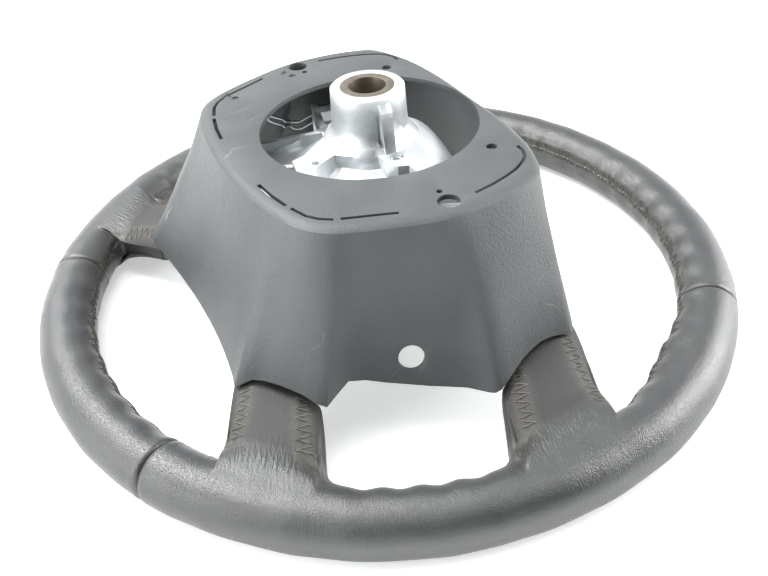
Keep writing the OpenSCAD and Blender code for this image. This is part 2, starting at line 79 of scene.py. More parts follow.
class Spoke:
    """One spoke: where it leaves the rim, which way it runs, how its end faces, its length and width."""

    def __init__(self, clock, run, end_clock, length, width):
        self.clock, self.run, self.end_clock, self.length, self.width = clock, run, end_clock, length, width
        self.skew = math.cos(math.radians(run - end_clock))
        self.half = self.half_angle(width)

    def half_angle(self, width):
        """Half of the angle that the spoke takes up on the core line."""
        return math.degrees(math.asin(width / 2 / math.cos(math.radians(self.run - self.clock)) / core_w))

    def end_point(self, place, width, inset=0):
        """Plan place of the end, with place from -1 at one side of the spoke to 1 at the other."""
        out = self.length - inset + end_bow * (1 - np.minimum(1, place**2))
        side = place * width / 2 / self.skew
        x, y = core_line(np.float64(self.clock))
        run_x, run_y = clock_way(self.run)
        end_x, end_y = clock_way(self.end_clock + 90)
        return x - out * run_x + side * end_x, y - out * run_y + side * end_y


def linear(hex_colour):
    """An sRGB hex colour as the linear RGBA that a shader takes."""
    channels = [int(hex_colour[i : i + 2], 16) / 255 for i in (1, 3, 5)]
    return [c / 12.92 if c <= 0.04045 else ((c + 0.055) / 1.055) ** 2.4 for c in channels] + [1]


def add(tree, kind, inputs=None, **settings):
    """Adds a node with its own settings; each input is a value or the socket that feeds it."""
    node = tree.nodes.new(kind)
    for name, value in settings.items():
        setattr(node, name, value)
    for name, value in (inputs or {}).items():
        if isinstance(value, bpy.types.NodeSocket):
            tree.links.new(value, node.inputs[name])
        else:
            node.inputs[name].default_value = value
    return node


def new_material(name):
    """An empty material and its tree."""
    material = bpy.data.materials.new(name)
    material.use_nodes = True
    material.node_tree.nodes.clear()
    return material, material.node_tree


def finish_material(tree, surface):
    """Links a shader to the material's output."""
    add(tree, "ShaderNodeOutputMaterial", {"Surface": surface})


def ramp(tree, factor, stops):
    """A colour ramp through (place, hex colour) stops."""
    node = add(tree, "ShaderNodeValToRGB", {"Fac": factor})
    elements = node.color_ramp.elements
    while len(elements) < len(stops):
        elements.new(0.5)
    for element, (place, colour) in zip(elements, stops):
        element.position = place
        element.color = linear(colour)
    return node.outputs["Color"]


# Materials


def worn_leather():
    """Finished cowhide: satin pigment coat over a pebble grain, creased and browned along the lacing, with
    painted shade darkening the spokes.
    """
    material, tree = new_material("finished_cowhide")
    skin = add(tree, "ShaderNodeUVMap", uv_map="skin").outputs["UV"]
    place = add(tree, "ShaderNodeTexCoord").outputs["Object"]
    crease_mask = add(tree, "ShaderNodeAttribute", attribute_name="crease").outputs["Fac"]
    lace_mask = add(tree, "ShaderNodeAttribute", attribute_name="lace").outputs["Fac"]
    worn_and_shade_mask = add(tree, "ShaderNodeAttribute", attribute_name="worn_and_shade").outputs["Fac"]

    stains = add(tree, "ShaderNodeTexNoise", {"Vector": place, "Scale": 28, "Detail": 4, "Roughness": 0.6})
    tone = ramp(tree, stains.outputs["Fac"], [(0.3, "#292a2b"), (0.7, "#353636")])
    # Painted shade: the spokes' colour goes towards near black where the cover shades them; the same mask
    # also makes them rougher
    spoke_painted_shade = add(tree, "ShaderNodeMath", {0: worn_and_shade_mask, 1: 0.8}, operation="MULTIPLY")
    tone = add(
        tree, "ShaderNodeMix", {0: spoke_painted_shade.outputs[0], 6: tone, 7: linear("#0c0c0b")}, data_type="RGBA"
    ).outputs[2]
    dusty = add(tree, "ShaderNodeMath", {0: lace_mask, 1: 0.45}, operation="MULTIPLY")
    browned = add(
        tree, "ShaderNodeMix", {0: dusty.outputs[0], 6: tone, 7: linear("#47443d")}, data_type="RGBA"
    )

    # Creases run across the grip, about 1.8 mm apart and 9 mm long
    stretched = add(tree, "ShaderNodeMapping", {"Vector": skin, "Scale": (680, 170, 1)})
    creases = add(
        tree, "ShaderNodeTexNoise",
        {"Vector": stretched.outputs[0], "Scale": 1, "Detail": 1.5, "Roughness": 0.5},
    )
    crease_height = add(
        tree, "ShaderNodeMath", {0: creases.outputs["Fac"], 1: crease_mask}, operation="MULTIPLY"
    )
    # The pebble grain is 0.7 mm
    pebbles = add(
        tree, "ShaderNodeTexVoronoi", {"Vector": place, "Scale": 1400, "Randomness": 1},
        feature="DISTANCE_TO_EDGE",
    )
    fine = add(tree, "ShaderNodeTexNoise", {"Vector": place, "Scale": 1400, "Detail": 2})
    grain = add(tree, "ShaderNodeMath", {0: pebbles.outputs["Distance"], 1: 0.5}, operation="MINIMUM")
    grain = add(tree, "ShaderNodeMath", {0: grain.outputs[0], 1: fine.outputs["Fac"]}, operation="ADD")
    soft = add(
        tree, "ShaderNodeBump", {"Height": crease_height.outputs[0], "Distance": 0.0011, "Strength": 0.6}
    )
    bump = add(
        tree, "ShaderNodeBump",
        {"Height": grain.outputs[0], "Distance": 0.00022, "Strength": 0.8, "Normal": soft.outputs[0]},
    )
    shine = add(
        tree, "ShaderNodeMapRange", {"Value": stains.outputs["Fac"], 1: 0.3, 2: 0.7, 3: 0.27, 4: 0.38}
    )
    dull = add(
        tree, "ShaderNodeMath", {0: worn_and_shade_mask, 1: 0.36, 2: shine.outputs[0]}, operation="MULTIPLY_ADD"
    )
    shader = add(
        tree, "ShaderNodeBsdfPrincipled",
        {"Base Color": browned.outputs[2], "Roughness": dull.outputs[0], "Normal": bump.outputs[0],
         "IOR": 1.65},
    )
    finish_material(tree, shader.outputs[0])
    return material


def spark_grained_plastic():
    """Moulded ABS with a fine spark-eroded grain: matt, with pale scuffs and a worn bloom."""
    material, tree = new_material("moulded_abs_fine_grain")
    place = add(tree, "ShaderNodeTexCoord").outputs["Object"]
    clouds = add(tree, "ShaderNodeTexNoise", {"Vector": place, "Scale": 22, "Detail": 5, "Roughness": 0.6})
    tone = ramp(tree, clouds.outputs["Fac"], [(0.3, "#3c3f40"), (0.7, "#464949")])

    # Scuffs: thin bent scratches in a few patches
    bent = add(tree, "ShaderNodeTexNoise", {"Vector": place, "Scale": 60, "Detail": 2})
    warped = add(
        tree, "ShaderNodeVectorMath", {0: bent.outputs["Color"], "Scale": 0.02}, operation="SCALE"
    )
    moved = add(tree, "ShaderNodeVectorMath", {0: place, 1: warped.outputs[0]}, operation="ADD")
    scratched = add(
        tree, "ShaderNodeMapping",
        {"Vector": moved.outputs[0], "Rotation": (0.5, 0.3, 0.7), "Scale": (420, 14, 40)},
    )
    scratches = add(tree, "ShaderNodeTexNoise", {"Vector": scratched.outputs[0], "Scale": 1, "Detail": 1})
    thin = add(tree, "ShaderNodeMapRange", {"Value": scratches.outputs["Fac"], 1: 0.70, 2: 0.76, 3: 0, 4: 1})
    patches = add(tree, "ShaderNodeTexNoise", {"Vector": place, "Scale": 17, "Detail": 1})
    where = add(tree, "ShaderNodeMapRange", {"Value": patches.outputs["Fac"], 1: 0.55, 2: 0.68, 3: 0, 4: 0.5})
    scuffs = add(tree, "ShaderNodeMath", {0: thin.outputs[0], 1: where.outputs[0]}, operation="MULTIPLY")
    colour = add(
        tree, "ShaderNodeMix", {0: scuffs.outputs[0], 6: tone, 7: linear("#8d8e8c")}, data_type="RGBA"
    )

    # The spark grain is drawn at 1.2 mm, coarser than real, so that it shows
    grain = add(tree, "ShaderNodeTexNoise", {"Vector": place, "Scale": 850, "Detail": 3, "Roughness": 0.7})
    bump = add(tree, "ShaderNodeBump", {"Height": grain.outputs["Fac"], "Distance": 0.0004, "Strength": 0.8})
    shader = add(
        tree, "ShaderNodeBsdfPrincipled",
        {"Base Color": colour.outputs[2], "Roughness": 0.48, "Normal": bump.outputs[0], "IOR": 1.5},
    )
    finish_material(tree, shader.outputs[0])
    return material


def cast_aluminium():
    """Die-cast aluminium alloy, as cast: pale, satin skin with shallow flow marks and fine grit."""
    material, tree = new_material("die_cast_aluminium")
    place = add(tree, "ShaderNodeTexCoord").outputs["Object"]
    flow = add(tree, "ShaderNodeTexNoise", {"Vector": place, "Scale": 70, "Detail": 4, "Roughness": 0.6})
    tone = ramp(tree, flow.outputs["Fac"], [(0.3, "#c3c7c9"), (0.7, "#d8dbdc")])
    grit = add(tree, "ShaderNodeTexNoise", {"Vector": place, "Scale": 900, "Detail": 3})
    bump = add(tree, "ShaderNodeBump", {"Height": grit.outputs["Fac"], "Distance": 0.0002, "Strength": 0.5})
    shine = add(tree, "ShaderNodeMapRange", {"Value": flow.outputs["Fac"], 1: 0.3, 2: 0.7, 3: 0.36, 4: 0.48})
    shader = add(
        tree, "ShaderNodeBsdfPrincipled",
        {"Base Color": tone, "Metallic": 0.85, "Roughness": shine.outputs[0], "Normal": bump.outputs[0]},
    )
    finish_material(tree, shader.outputs[0])
    return material


def turned_steel():
    """Turned steel with a thin film of old grease: warm grey, with fine rings round the bore."""
    material, tree = new_material("turned_steel_oiled")
    place = add(tree, "ShaderNodeTexCoord").outputs["Object"]
    parts = add(tree, "ShaderNodeSeparateXYZ", {0: place})
    radius = add(tree, "ShaderNodeCombineXYZ", {0: parts.outputs[0], 1: parts.outputs[1]})
    length = add(tree, "ShaderNodeVectorMath", {0: radius.outputs[0]}, operation="LENGTH")
    rings = add(tree, "ShaderNodeMath", {0: length.outputs["Value"], 1: 9000}, operation="MULTIPLY")
    rings = add(tree, "ShaderNodeMath", {0: rings.outputs[0]}, operation="SINE")
    film = add(tree, "ShaderNodeTexNoise", {"Vector": place, "Scale": 160, "Detail": 4})
    tone = ramp(tree, film.outputs["Fac"], [(0.35, "#655e54"), (0.65, "#786f64")])
    bump = add(tree, "ShaderNodeBump", {"Height": rings.outputs[0], "Distance": 0.00002, "Strength": 0.5})
    shader = add(
        tree, "ShaderNodeBsdfPrincipled",
        {"Base Color": tone, "Metallic": 0.8, "Roughness": 0.42, "Normal": bump.outputs[0]},
    )
    finish_material(tree, shader.outputs[0])
    return material


def moulded_foam():
    """Self-skinned polyurethane foam: dark and dull, with small pores."""
    material, tree = new_material("self_skinned_foam")
    place = add(tree, "ShaderNodeTexCoord").outputs["Object"]
    pores = add(tree, "ShaderNodeTexVoronoi", {"Vector": place, "Scale": 420})
    # Painted shade: the pores' pits are darker, where the bump sinks them
    tone = ramp(tree, pores.outputs["Distance"], [(0.1, "#2b2a28"), (0.6, "#4a4946")])
    bump = add(
        tree, "ShaderNodeBump",
        {"Height": pores.outputs["Distance"], "Distance": 0.0003, "Strength": 0.6},
    )
    shader = add(
        tree, "ShaderNodeBsdfPrincipled", {"Base Color": tone, "Roughness": 0.8, "Normal": bump.outputs[0]}
    )
    finish_material(tree, shader.outputs[0])
    return material


def zinc_plated_steel():
    """Zinc-plated steel: bright, faintly clouded by its passivation."""
    material, tree = new_material("zinc_plated_steel")
    place = add(tree, "ShaderNodeTexCoord").outputs["Object"]
    clouds = add(tree, "ShaderNodeTexNoise", {"Vector": place, "Scale": 300, "Detail": 3})
    tone = ramp(tree, clouds.outputs["Fac"], [(0.3, "#a9acab"), (0.7, "#c6c8c4")])
    shader = add(
        tree, "ShaderNodeBsdfPrincipled", {"Base Color": tone, "Metallic": 1, "Roughness": 0.35}
    )
    finish_material(tree, shader.outputs[0])
    return material


def lacing_thread():
    """Twisted polyester thread, black when new and now pale with dust."""
    material, tree = new_material("twisted_polyester_thread")
    place = add(tree, "ShaderNodeTexCoord").outputs["Object"]
    dust = add(tree, "ShaderNodeTexNoise", {"Vector": place, "Scale": 240, "Detail": 3})
    tone = ramp(tree, dust.outputs["Fac"], [(0.35, "#4e4b46"), (0.65, "#6b675f")])
    shader = add(tree, "ShaderNodeBsdfPrincipled", {"Base Color": tone, "Roughness": 0.75})
    finish_material(tree, shader.outputs[0])
    return material


# The grip's surface, from the same dimensions as the solids


def core_line(clock):
    """Points of the core line, for clock angles from 12 o'clock towards +X."""
    s, c = np.sin(np.radians(clock)), np.cos(np.radians(clock))
    side = np.abs(s) > np.abs(c)
    x = np.where(side, np.sign(s) * arc_shift + side_arc_r * s, end_arc_r * s)
    y = np.where(side, side_arc_r * c, -np.sign(c) * arc_shift + end_arc_r * c)
    return x, y


def bell(x):
    """1 at 0, falling smoothly to 0 at -1 and 1."""
    return np.where(np.abs(x) >= 1, 0, np.cos(np.radians(90 * np.clip(x, -1, 1))) ** 2)


def ease(t):
    """0 to 1 with a soft start and stop."""
    t = np.clip(t, 0, 1)
    return t * t * (3 - 2 * t)


def clock_way(clock):
    """Unit direction of a clock angle in plan."""
    a = math.radians(clock)
    return math.sin(a), math.cos(a)


UPPER = Spoke(clock=88.8, run=108, end_clock=69, length=61.5, width=46.5)
LOWER = Spoke(clock=135, run=118, end_clock=141, length=54.5, width=43)


def places(clock, inset=0):
    """Whether each clock angle is nearer to the lower spoke, and its place across the nearer one."""
    low = np.abs(clock - LOWER.clock) < np.abs(clock - UPPER.clock)
    upper = (clock - UPPER.clock) / UPPER.half_angle(UPPER.width - 2 * inset)
    lower = (clock - LOWER.clock) / LOWER.half_angle(LOWER.width - 2 * inset)
    return low, np.where(low, lower, upper)


def grooves(clock):
    """0 between the finger grooves and 1 in the middle of each, with none at the spokes."""
    depth = np.zeros_like(clock)
    runs = [
        (-upper_seam_clock, upper_seam_clock),
        (upper_seam_clock, UPPER.clock - 1.5 * UPPER.half),
        (UPPER.clock + 1.5 * UPPER.half, LOWER.clock - 1.5 * LOWER.half),
        (lower_seam_clock, 360 - lower_seam_clock),
    ]
    for start, stop in runs:
        count = max(2, 2 * round((stop - start) / half_groove / 2))
        t = (clock - start) / (stop - start) * count
        inside = (clock > start) & (clock < stop)
        depth = np.where(inside, (1 - np.cos(np.pi * t)) / 2, depth)
    return depth


def spoke_reach(place, width):
    """How far a ring is drawn out into the spoke: 1 on it, then a steep side and a fillet down to 0."""
    x = (np.abs(place) - 1) * width / 2
    foot = spoke_fillet / (LOWER.length - grip_r)
    q = 1 - np.clip(x / spoke_fillet, 0, 1)
    beside = (1 - foot) * np.clip(1 - x / side_lean, 0, 1) + foot * (1 - np.sqrt(np.clip(1 - q * q, 0, 1)))
    return np.where(x <= 0.01, 1, beside)


def grip_surface(clock, steps, inset):
    """Grid of points: a ring at each clock angle, from the bottom over the outside and the top and back."""
    outer, inner = steps
    v = np.radians(np.concatenate([
        np.linspace(-90, 90, outer, endpoint=False), np.linspace(90, 270, inner, endpoint=False)
    ]))
    u = clock[:, None]
    swell = thumb_swell * bell((u - thumb_clock) / 15) * bell((np.degrees(v) - 190) / 100)
    groove = groove_depth * grooves(clock)[:, None] * bell((np.degrees(v) - 150) / 75)
    r = grip_r + swell - groove - inset
    out = r * np.cos(v)
    core_x, core_y = core_line(u)
    way = np.radians(u)
    plain = [core_x + out * np.sin(way), core_y + out * np.cos(way), grip_r + r * np.sin(v)]

    low, place = places(clock, inset)
    low, place = low[:, None], place[:, None]
    width = np.where(low, LOWER.width, UPPER.width) - 2 * inset
    reach = spoke_reach(place, width) * (v > np.radians(90))
    share = np.clip((np.degrees(v) - 90) / 180, 0, 1)
    t = np.minimum(1, (0.5 - np.abs(share - 0.5)) / 0.42)
    ends = [
        np.where(low, a, b)
        for a, b in zip(*[s.end_point(place, s.width - 2 * inset, inset) for s in (LOWER, UPPER)])
    ]
    crown = np.sin(np.pi / 2 * np.clip((0.5 - share) / 0.07, -1, 1))
    height = np.where(np.abs(place) < 1, np.sqrt(np.clip(1 - np.abs(place) ** 2.6, 0, 1)), 0)
    half = grip_r + (spoke_half_t * np.maximum(0.3, height) - grip_r) * ease((t - 0.15) * 3) - inset
    middle = grip_r + (spoke_end_z - grip_r) * ease(t)
    spoke = [core_x + (ends[0] - core_x) * t, core_y + (ends[1] - core_y) * t, middle + crown * half]
    return np.stack([a + (b - a) * reach for a, b in zip(plain, spoke)], axis=-1)


def clock_stations(start, stop, step=0.45, fine=0.1):
    """Clock angles of the rings, closer together at the sides of the spokes."""
    found = [start]
    while found[-1] < stop:
        place = abs(float(places(np.float64(abs(found[-1])))[1]))
        found.append(found[-1] + (fine if 0.9 < place < 1.25 else step))
    found[-1] = stop
    return np.array(found)


def relaxed(points, clock, rounds=14):
    """Rounds off the edges of the spokes: each point near one moves towards its neighbours' middle."""
    place = np.abs(places(clock)[1])
    weight = np.clip((1.7 - place) / 0.3, 0, 1)
    weight[:2] = weight[-2:] = 0
    weight = weight[:, None, None] * 0.5
    for _ in range(rounds):
        around = (np.roll(points, 1, 1) + np.roll(points, -1, 1)) / 2
        along = points.copy()
        along[1:-1] = (points[2:] + points[:-2]) / 2
        points = points + weight * ((around + along) / 2 - points)
    return points


def grid_normals(points):
    """Outward normals of a grid of rings."""
    along = np.gradient(points, axis=0)
    around = (np.roll(points, -1, 1) - np.roll(points, 1, 1)) / 2
    normal = np.cross(around, along)
    return normal / np.maximum(np.linalg.norm(normal, axis=-1, keepdims=True), 1e-9)


def tube_faces(rings, count, endless=False):
    """Quads between rings, and an end cap on an open tube."""
    i = np.arange(rings if endless else rings - 1)[:, None]
    j = np.arange(count)[None, :]
    a = i * count + j
    b = i * count + (j + 1) % count
    c = (i + 1) % rings * count + (j + 1) % count
    d = (i + 1) % rings * count + j
    faces = np.stack([a, d, c, b], axis=-1).reshape(-1, 4).tolist()
    if not endless:
        faces.append(list(range(count)))
        faces.append([(rings - 1) * count + k for k in range(count)][::-1])
    return faces


def mesh_object(name, points, faces, material, smooth=True):
    """A new object from points in millimetres."""
    mesh = bpy.data.meshes.new(name)
    mesh.from_pydata((np.asarray(points).reshape(-1, 3) * MM).tolist(), [], faces)
    mesh.validate()
    mesh.materials.append(material)
    mesh.shade_smooth() if smooth else mesh.shade_flat()
    obj = bpy.data.objects.new(name, mesh)
    bpy.context.scene.collection.objects.link(obj)
    return obj


def face_outwards(obj):
    """Turns the faces of a closed mesh outwards."""
    work = bmesh.new()
    work.from_mesh(obj.data)
    bmesh.ops.recalc_face_normals(work, faces=work.faces)
    work.to_mesh(obj.data)
    work.free()


def apply_modifiers(obj):
    """Replaces the mesh by its evaluated form and removes the modifiers."""
    graph = bpy.context.evaluated_depsgraph_get()
    mesh = bpy.data.meshes.new_from_object(
        obj.evaluated_get(graph), preserve_all_data_layers=True, depsgraph=graph
    )
    obj.modifiers.clear()
    old = obj.data
    obj.data = mesh
    mesh.name = obj.name
    bpy.data.meshes.remove(old)


def cut(obj, *tools):
    """Subtracts closed meshes and deletes them."""
    for tool in tools:
        modifier = obj.modifiers.new("cut", "BOOLEAN")
        modifier.operation = "DIFFERENCE"
        modifier.solver = "MANIFOLD"
        modifier.object = tool
    apply_modifiers(obj)
    for tool in tools:
        mesh = tool.data
        bpy.data.objects.remove(tool)
        bpy.data.meshes.remove(mesh)


# Lacing: where the seams run

# The seam's place round the grip, in degrees from its outside over the top
SEAM_V = 160
# Along a spoke's edge: places across the spoke and along it, from its end to the rim
SPOKE_SEAM = [(0.70, 1.0), (0.70, 0.9), (0.71, 0.8), (0.73, 0.68), (0.77, 0.56), (0.84, 0.46), (0.95, 0.39)]
# Then places across it beyond its side, and distances in from the core line
FOOT_SEAM = [(1.14, 18.0), (1.32, 15.4), (1.5, 14.3)]


def plan_point(clock, d):
    """Plan place at a distance in from the core line."""
    x, y = core_line(np.float64(clock))
    way_x, way_y = clock_way(clock)
    return np.array([x - d * way_x, y - d * way_y])


def rim_seam(start, stop):
    """Guesses of the seam on the plain rim: points just off the surface."""
    d = -(grip_r + 1) * math.cos(math.radians(SEAM_V))
    z = grip_r + (grip_r + 1) * math.sin(math.radians(SEAM_V))
    count = max(2, int(abs(stop - start) / 1.5))
    return [np.append(plan_point(c, d), z) for c in np.linspace(start, stop, count)]


def spoke_seam(spoke, side):
    """Guesses of the seam along one edge of a spoke, from its open end to the rim."""
    found = []
    for share, t in SPOKE_SEAM:
        root = plan_point(spoke.clock + side * share * spoke.half, 0)
        end = np.array(spoke.end_point(side * share, spoke.width))
        z = grip_r + (spoke_end_z - grip_r) * float(ease(t)) + spoke_half_t + 2
        found.append(np.append(root + (end - root) * t, z))
    z = grip_r + (grip_r + 2) * math.sin(math.radians(SEAM_V))
    for share, d in FOOT_SEAM:
        rise = (d - FOOT_SEAM[-1][1]) * 1.6
        found.append(np.append(plan_point(spoke.clock + side * share * spoke.half, d), z + rise))
    return found


def seam_guesses():
    """The four seams: over the top, down the right, under the bottom and up the left."""
    foot = FOOT_SEAM[-1][0] + 0.2
    top_stop = UPPER.clock - foot * UPPER.half
    top = rim_seam(-top_stop, top_stop)
    side = rim_seam(UPPER.clock + foot * UPPER.half, LOWER.clock - foot * LOWER.half)
    bottom_start = LOWER.clock + foot * LOWER.half
    bottom = rim_seam(bottom_start, 360 - bottom_start)
    up, down = spoke_seam(UPPER, -1), spoke_seam(UPPER, 1)
    low_up, low_down = spoke_seam(LOWER, -1), spoke_seam(LOWER, 1)

    def mirrored(points):
        return [p * np.array([-1, 1, 1]) for p in points]

    over_top = mirrored(up) + top + up[::-1]
    right = down + side + low_up[::-1]
    under = low_down + bottom + mirrored(low_down)[::-1]
    return [over_top, right, under, mirrored(right)]


def smooth_line(points, spacing=1.0, rounds=30):
    """Points at even distances along a line, with its corners rounded."""
    points = np.array(points)
    lengths = np.concatenate([[0], np.cumsum(np.linalg.norm(np.diff(points, axis=0), axis=1))])
    at = np.linspace(0, lengths[-1], max(4, int(lengths[-1] / spacing)))
    line = np.stack([np.interp(at, lengths, points[:, k]) for k in range(3)], axis=1)
    for _ in range(rounds):
        line[1:-1] = (line[:-2] + 2 * line[1:-1] + line[2:]) / 4
    return line


def seams_on(surface):
    """The seams as points and normals on the surface."""
    found = []
    for guess in seam_guesses():
        line = smooth_line(guess)
        hits = [surface.find_nearest(Vector(p * MM)) for p in line]
        points = np.array([h[0] for h in hits]) / MM
        normals = -np.array([h[1] for h in hits])
        for _ in range(6):
            points[1:-1] = (points[:-2] + 2 * points[1:-1] + points[2:]) / 4
            normals[1:-1] = normals[:-2] + 2 * normals[1:-1] + normals[2:]
            normals /= np.linalg.norm(normals, axis=1, keepdims=True)
        found.append((points, normals))
    return found


# Leather panels

# Points in the outer and in the inner half of a ring
GRID = (30, 84)
# Depth and flare of the hollow at a spoke's mouth, in millimetres
HOLLOW_MOUTH = [
    (-9, 5.0), (-0.6, 3.4), (0.0, 2.2), (0.3, 1.3), (0.8, 0.7), (1.5, 0.2), (2.2, 0.1), (2.8, 0.4)
]


def panel_clocks():
    """Clock angles of each panel's rings, with half a seam gap left at its ends."""
    half_gap = 0.2
    gap = math.degrees(half_gap / core_w)
    return {
        "leather_top": clock_stations(-upper_seam_clock + gap, upper_seam_clock - gap),
        "leather_right": clock_stations(upper_seam_clock, lower_seam_clock),
        "leather_bottom": clock_stations(lower_seam_clock + gap, 360 - lower_seam_clock - gap),
    }


def base_panel(clock):
    """A panel's plain surface; the half on the -X side is the other one mirrored."""
    wrapped = np.where(clock > 180, 360 - clock, np.abs(clock))
    points = grip_surface(wrapped, GRID, 0)
    mirror = np.where((clock > 180) | (clock < 0), -1, 1)[:, None]
    points[..., 0] *= mirror
    return relaxed(points, wrapped)


def base_surface(panels):
    """One closed surface of all panels, to find the seams on."""
    verts, faces, shift = [], [], 0
    for points in panels:
        count = points.shape[1]
        faces += [[k + shift for k in f] for f in tube_faces(len(points), count)[:-2]]
        verts += (points.reshape(-1, 3) * MM).tolist()
        shift = len(verts)
    return BVHTree.FromPolygons(verts, faces)


def seam_tree(seams):
    """All seam points, to look up how near a place is to a seam."""
    points = np.concatenate([s[0] for s in seams])
    tree = KDTree(len(points))
    for i, p in enumerate(points):
        tree.insert(p, i)
    tree.balance()
    return tree


def arc_lengths(points):
    """Distance along the panel of each ring, in millimetres, at the grip's outside."""
    step = np.linalg.norm(np.diff(points[:, GRID[0] // 2], axis=0), axis=-1)
    return np.concatenate([[0], np.cumsum(step)])


def dressed_panel(name, points, tree, leather):
    """A panel with rolled-in ends, sewn edges and slight unevenness."""
    normal = grid_normals(points)
    flat = points.reshape(-1, 3)
    distance = np.array([tree.find(p)[2] for p in flat]).reshape(points.shape[:2])

    along = arc_lengths(points)
    # The ends roll in over 1.6 mm with a slight puff beside them, and the seams dip between raised lips
    edge = np.minimum(along, along[-1] - along)
    roll = 0.9 * (1 - np.sqrt(np.clip(1 - (1 - np.clip(edge / 1.6, 0, 1)) ** 2, 0, 1)))
    puff = 0.25 * np.exp(-(((edge - 3.5) / 2) ** 2))
    dip = 0.7 * np.exp(-((distance / 0.9) ** 2)) - 0.15 * np.exp(-(((distance - 3.2) / 1.5) ** 2))
    x, y, z = (flat * 1.0).T
    uneven = 0.10 * (np.sin(x / 5.3 + 2 * np.sin(y / 9)) + np.sin(y / 6.1 + 1.7 * np.sin(x / 11 + z / 7)))
    shift = -dip + (puff - roll)[:, None] + uneven.reshape(distance.shape)
    outer = points + normal * shift[..., None]
    # The skin lies flat where the rim rests on the table
    outer[..., 2] = np.maximum(outer[..., 2], 0.01)

    rings, count = points.shape[:2]
    obj = mesh_object(name, outer, tube_faces(rings, count), leather)
    uv = obj.data.uv_layers.new(name="skin")
    steps = np.linalg.norm(np.diff(points, axis=1), axis=-1)
    around = np.concatenate([np.zeros((rings, 1)), np.cumsum(steps, axis=1)], axis=1)
    skin = np.stack([np.repeat(along, count), around.ravel()], axis=1) * MM
    loops = np.zeros(len(obj.data.loops), np.int32)
    obj.data.loops.foreach_get("vertex_index", loops)
    uv.data.foreach_set("uv", skin[loops].ravel())
    lace = np.exp(-((distance / 5.5) ** 4))
    paint(obj, "lace", lace)
    clock = np.degrees(np.arctan2(points[..., 0], points[..., 1]))
    place = np.abs(places(np.abs(clock))[1])
    core_x, core_y = core_line(clock)
    inwards = np.hypot(core_x, core_y) - np.hypot(points[..., 0], points[..., 1])
    foot = np.exp(-(((inwards - 17) / 9) ** 2)) * np.clip((2.0 - place) / 0.7, 0, 1)
    crease = 0.12 + 0.88 * foot
    # Spokes: rougher leather, and painted shade that darkens their colour
    paint(obj, "worn_and_shade", np.clip((inwards - 16) / 8, 0, 1))
    paint(obj, "crease", crease)
    face_outwards(obj)
    return obj


def paint(obj, name, values):
    """Stores a number at each vertex."""
    attribute = obj.data.attributes.new(name, "FLOAT", "POINT")
    attribute.data.foreach_set("value", np.asarray(values, np.float32).ravel())


def hollow_end(spoke, leather):
    """The hollow in a spoke's open end, flared at its mouth so that the leather's edge comes out round."""
    half_h = spoke_half_t - socket_wall
    straight = spoke.width / 2 - socket_wall - half_h
    turn = np.radians(np.arange(0, 360, 7.5))
    middle_x, middle_y = spoke.end_point(np.float64(0), spoke.width)
    run_x, run_y = clock_way(spoke.run)
    side_x, side_y = clock_way(spoke.end_clock + 90)
    rings = []
    for depth, flare in HOLLOW_MOUTH + [(socket_depth + 0.4, 0.4)]:
        across = np.cos(turn) * (half_h + flare) + np.sign(np.cos(turn) + 1e-9) * straight
        z = spoke_end_z - 0.8 + np.sin(turn) * (half_h + flare) - hollow_slope * depth
        along = depth + end_bow * np.minimum(1, (2 * across / spoke.width) ** 2)
        x = middle_x + along * run_x + across / spoke.skew * side_x
        y = middle_y + along * run_y + across / spoke.skew * side_y
        rings.append(np.stack([x, y, z], axis=1))
    points = np.array(rings)
    obj = mesh_object("hollow", points, tube_faces(*points.shape[:2]), leather)
    face_outwards(obj)
    return obj


def mirror_object(obj, name):
    """A copy mirrored to the other side of the wheel."""
    copy = bpy.data.objects.new(name, obj.data.copy())
    copy.data.transform(Matrix.Scale(-1, 4, (1, 0, 0)))
    copy.data.flip_normals()
    bpy.context.scene.collection.objects.link(copy)
    return copy


def leather_panels(leather):
    """Makes the four dressed panels and gives the seams."""
    clocks = panel_clocks()
    bases = {name: base_panel(clock) for name, clock in clocks.items()}
    left = bases["leather_right"] * np.array([-1, 1, 1])
    surface = base_surface([*bases.values(), left[::-1]])
    seams = seams_on(surface)
    tree = seam_tree(seams)
    made = {}
    for name, points in bases.items():
        panel = dressed_panel(name + "_skin", points, tree, leather)
        if name == "leather_right":
            cut(panel, *[hollow_end(spoke, leather) for spoke in (UPPER, LOWER)])
        made[name] = panel
    made["leather_left"] = mirror_object(made["leather_right"], "leather_left_skin")
    for name, panel in made.items():
        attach(panel, "root")
        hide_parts(name)
    return seams


# Lacing threads

# How far the stitches' base lies above the seam, in millimetres
STITCH_LIFT = 0.3
# Cosine of the largest turn of the surface from one millimetre of the seam to the next
CALM_TURN = 0.9985
# Millimetres of seam that are too short for stitches of their own
SHORT_RUN = 9

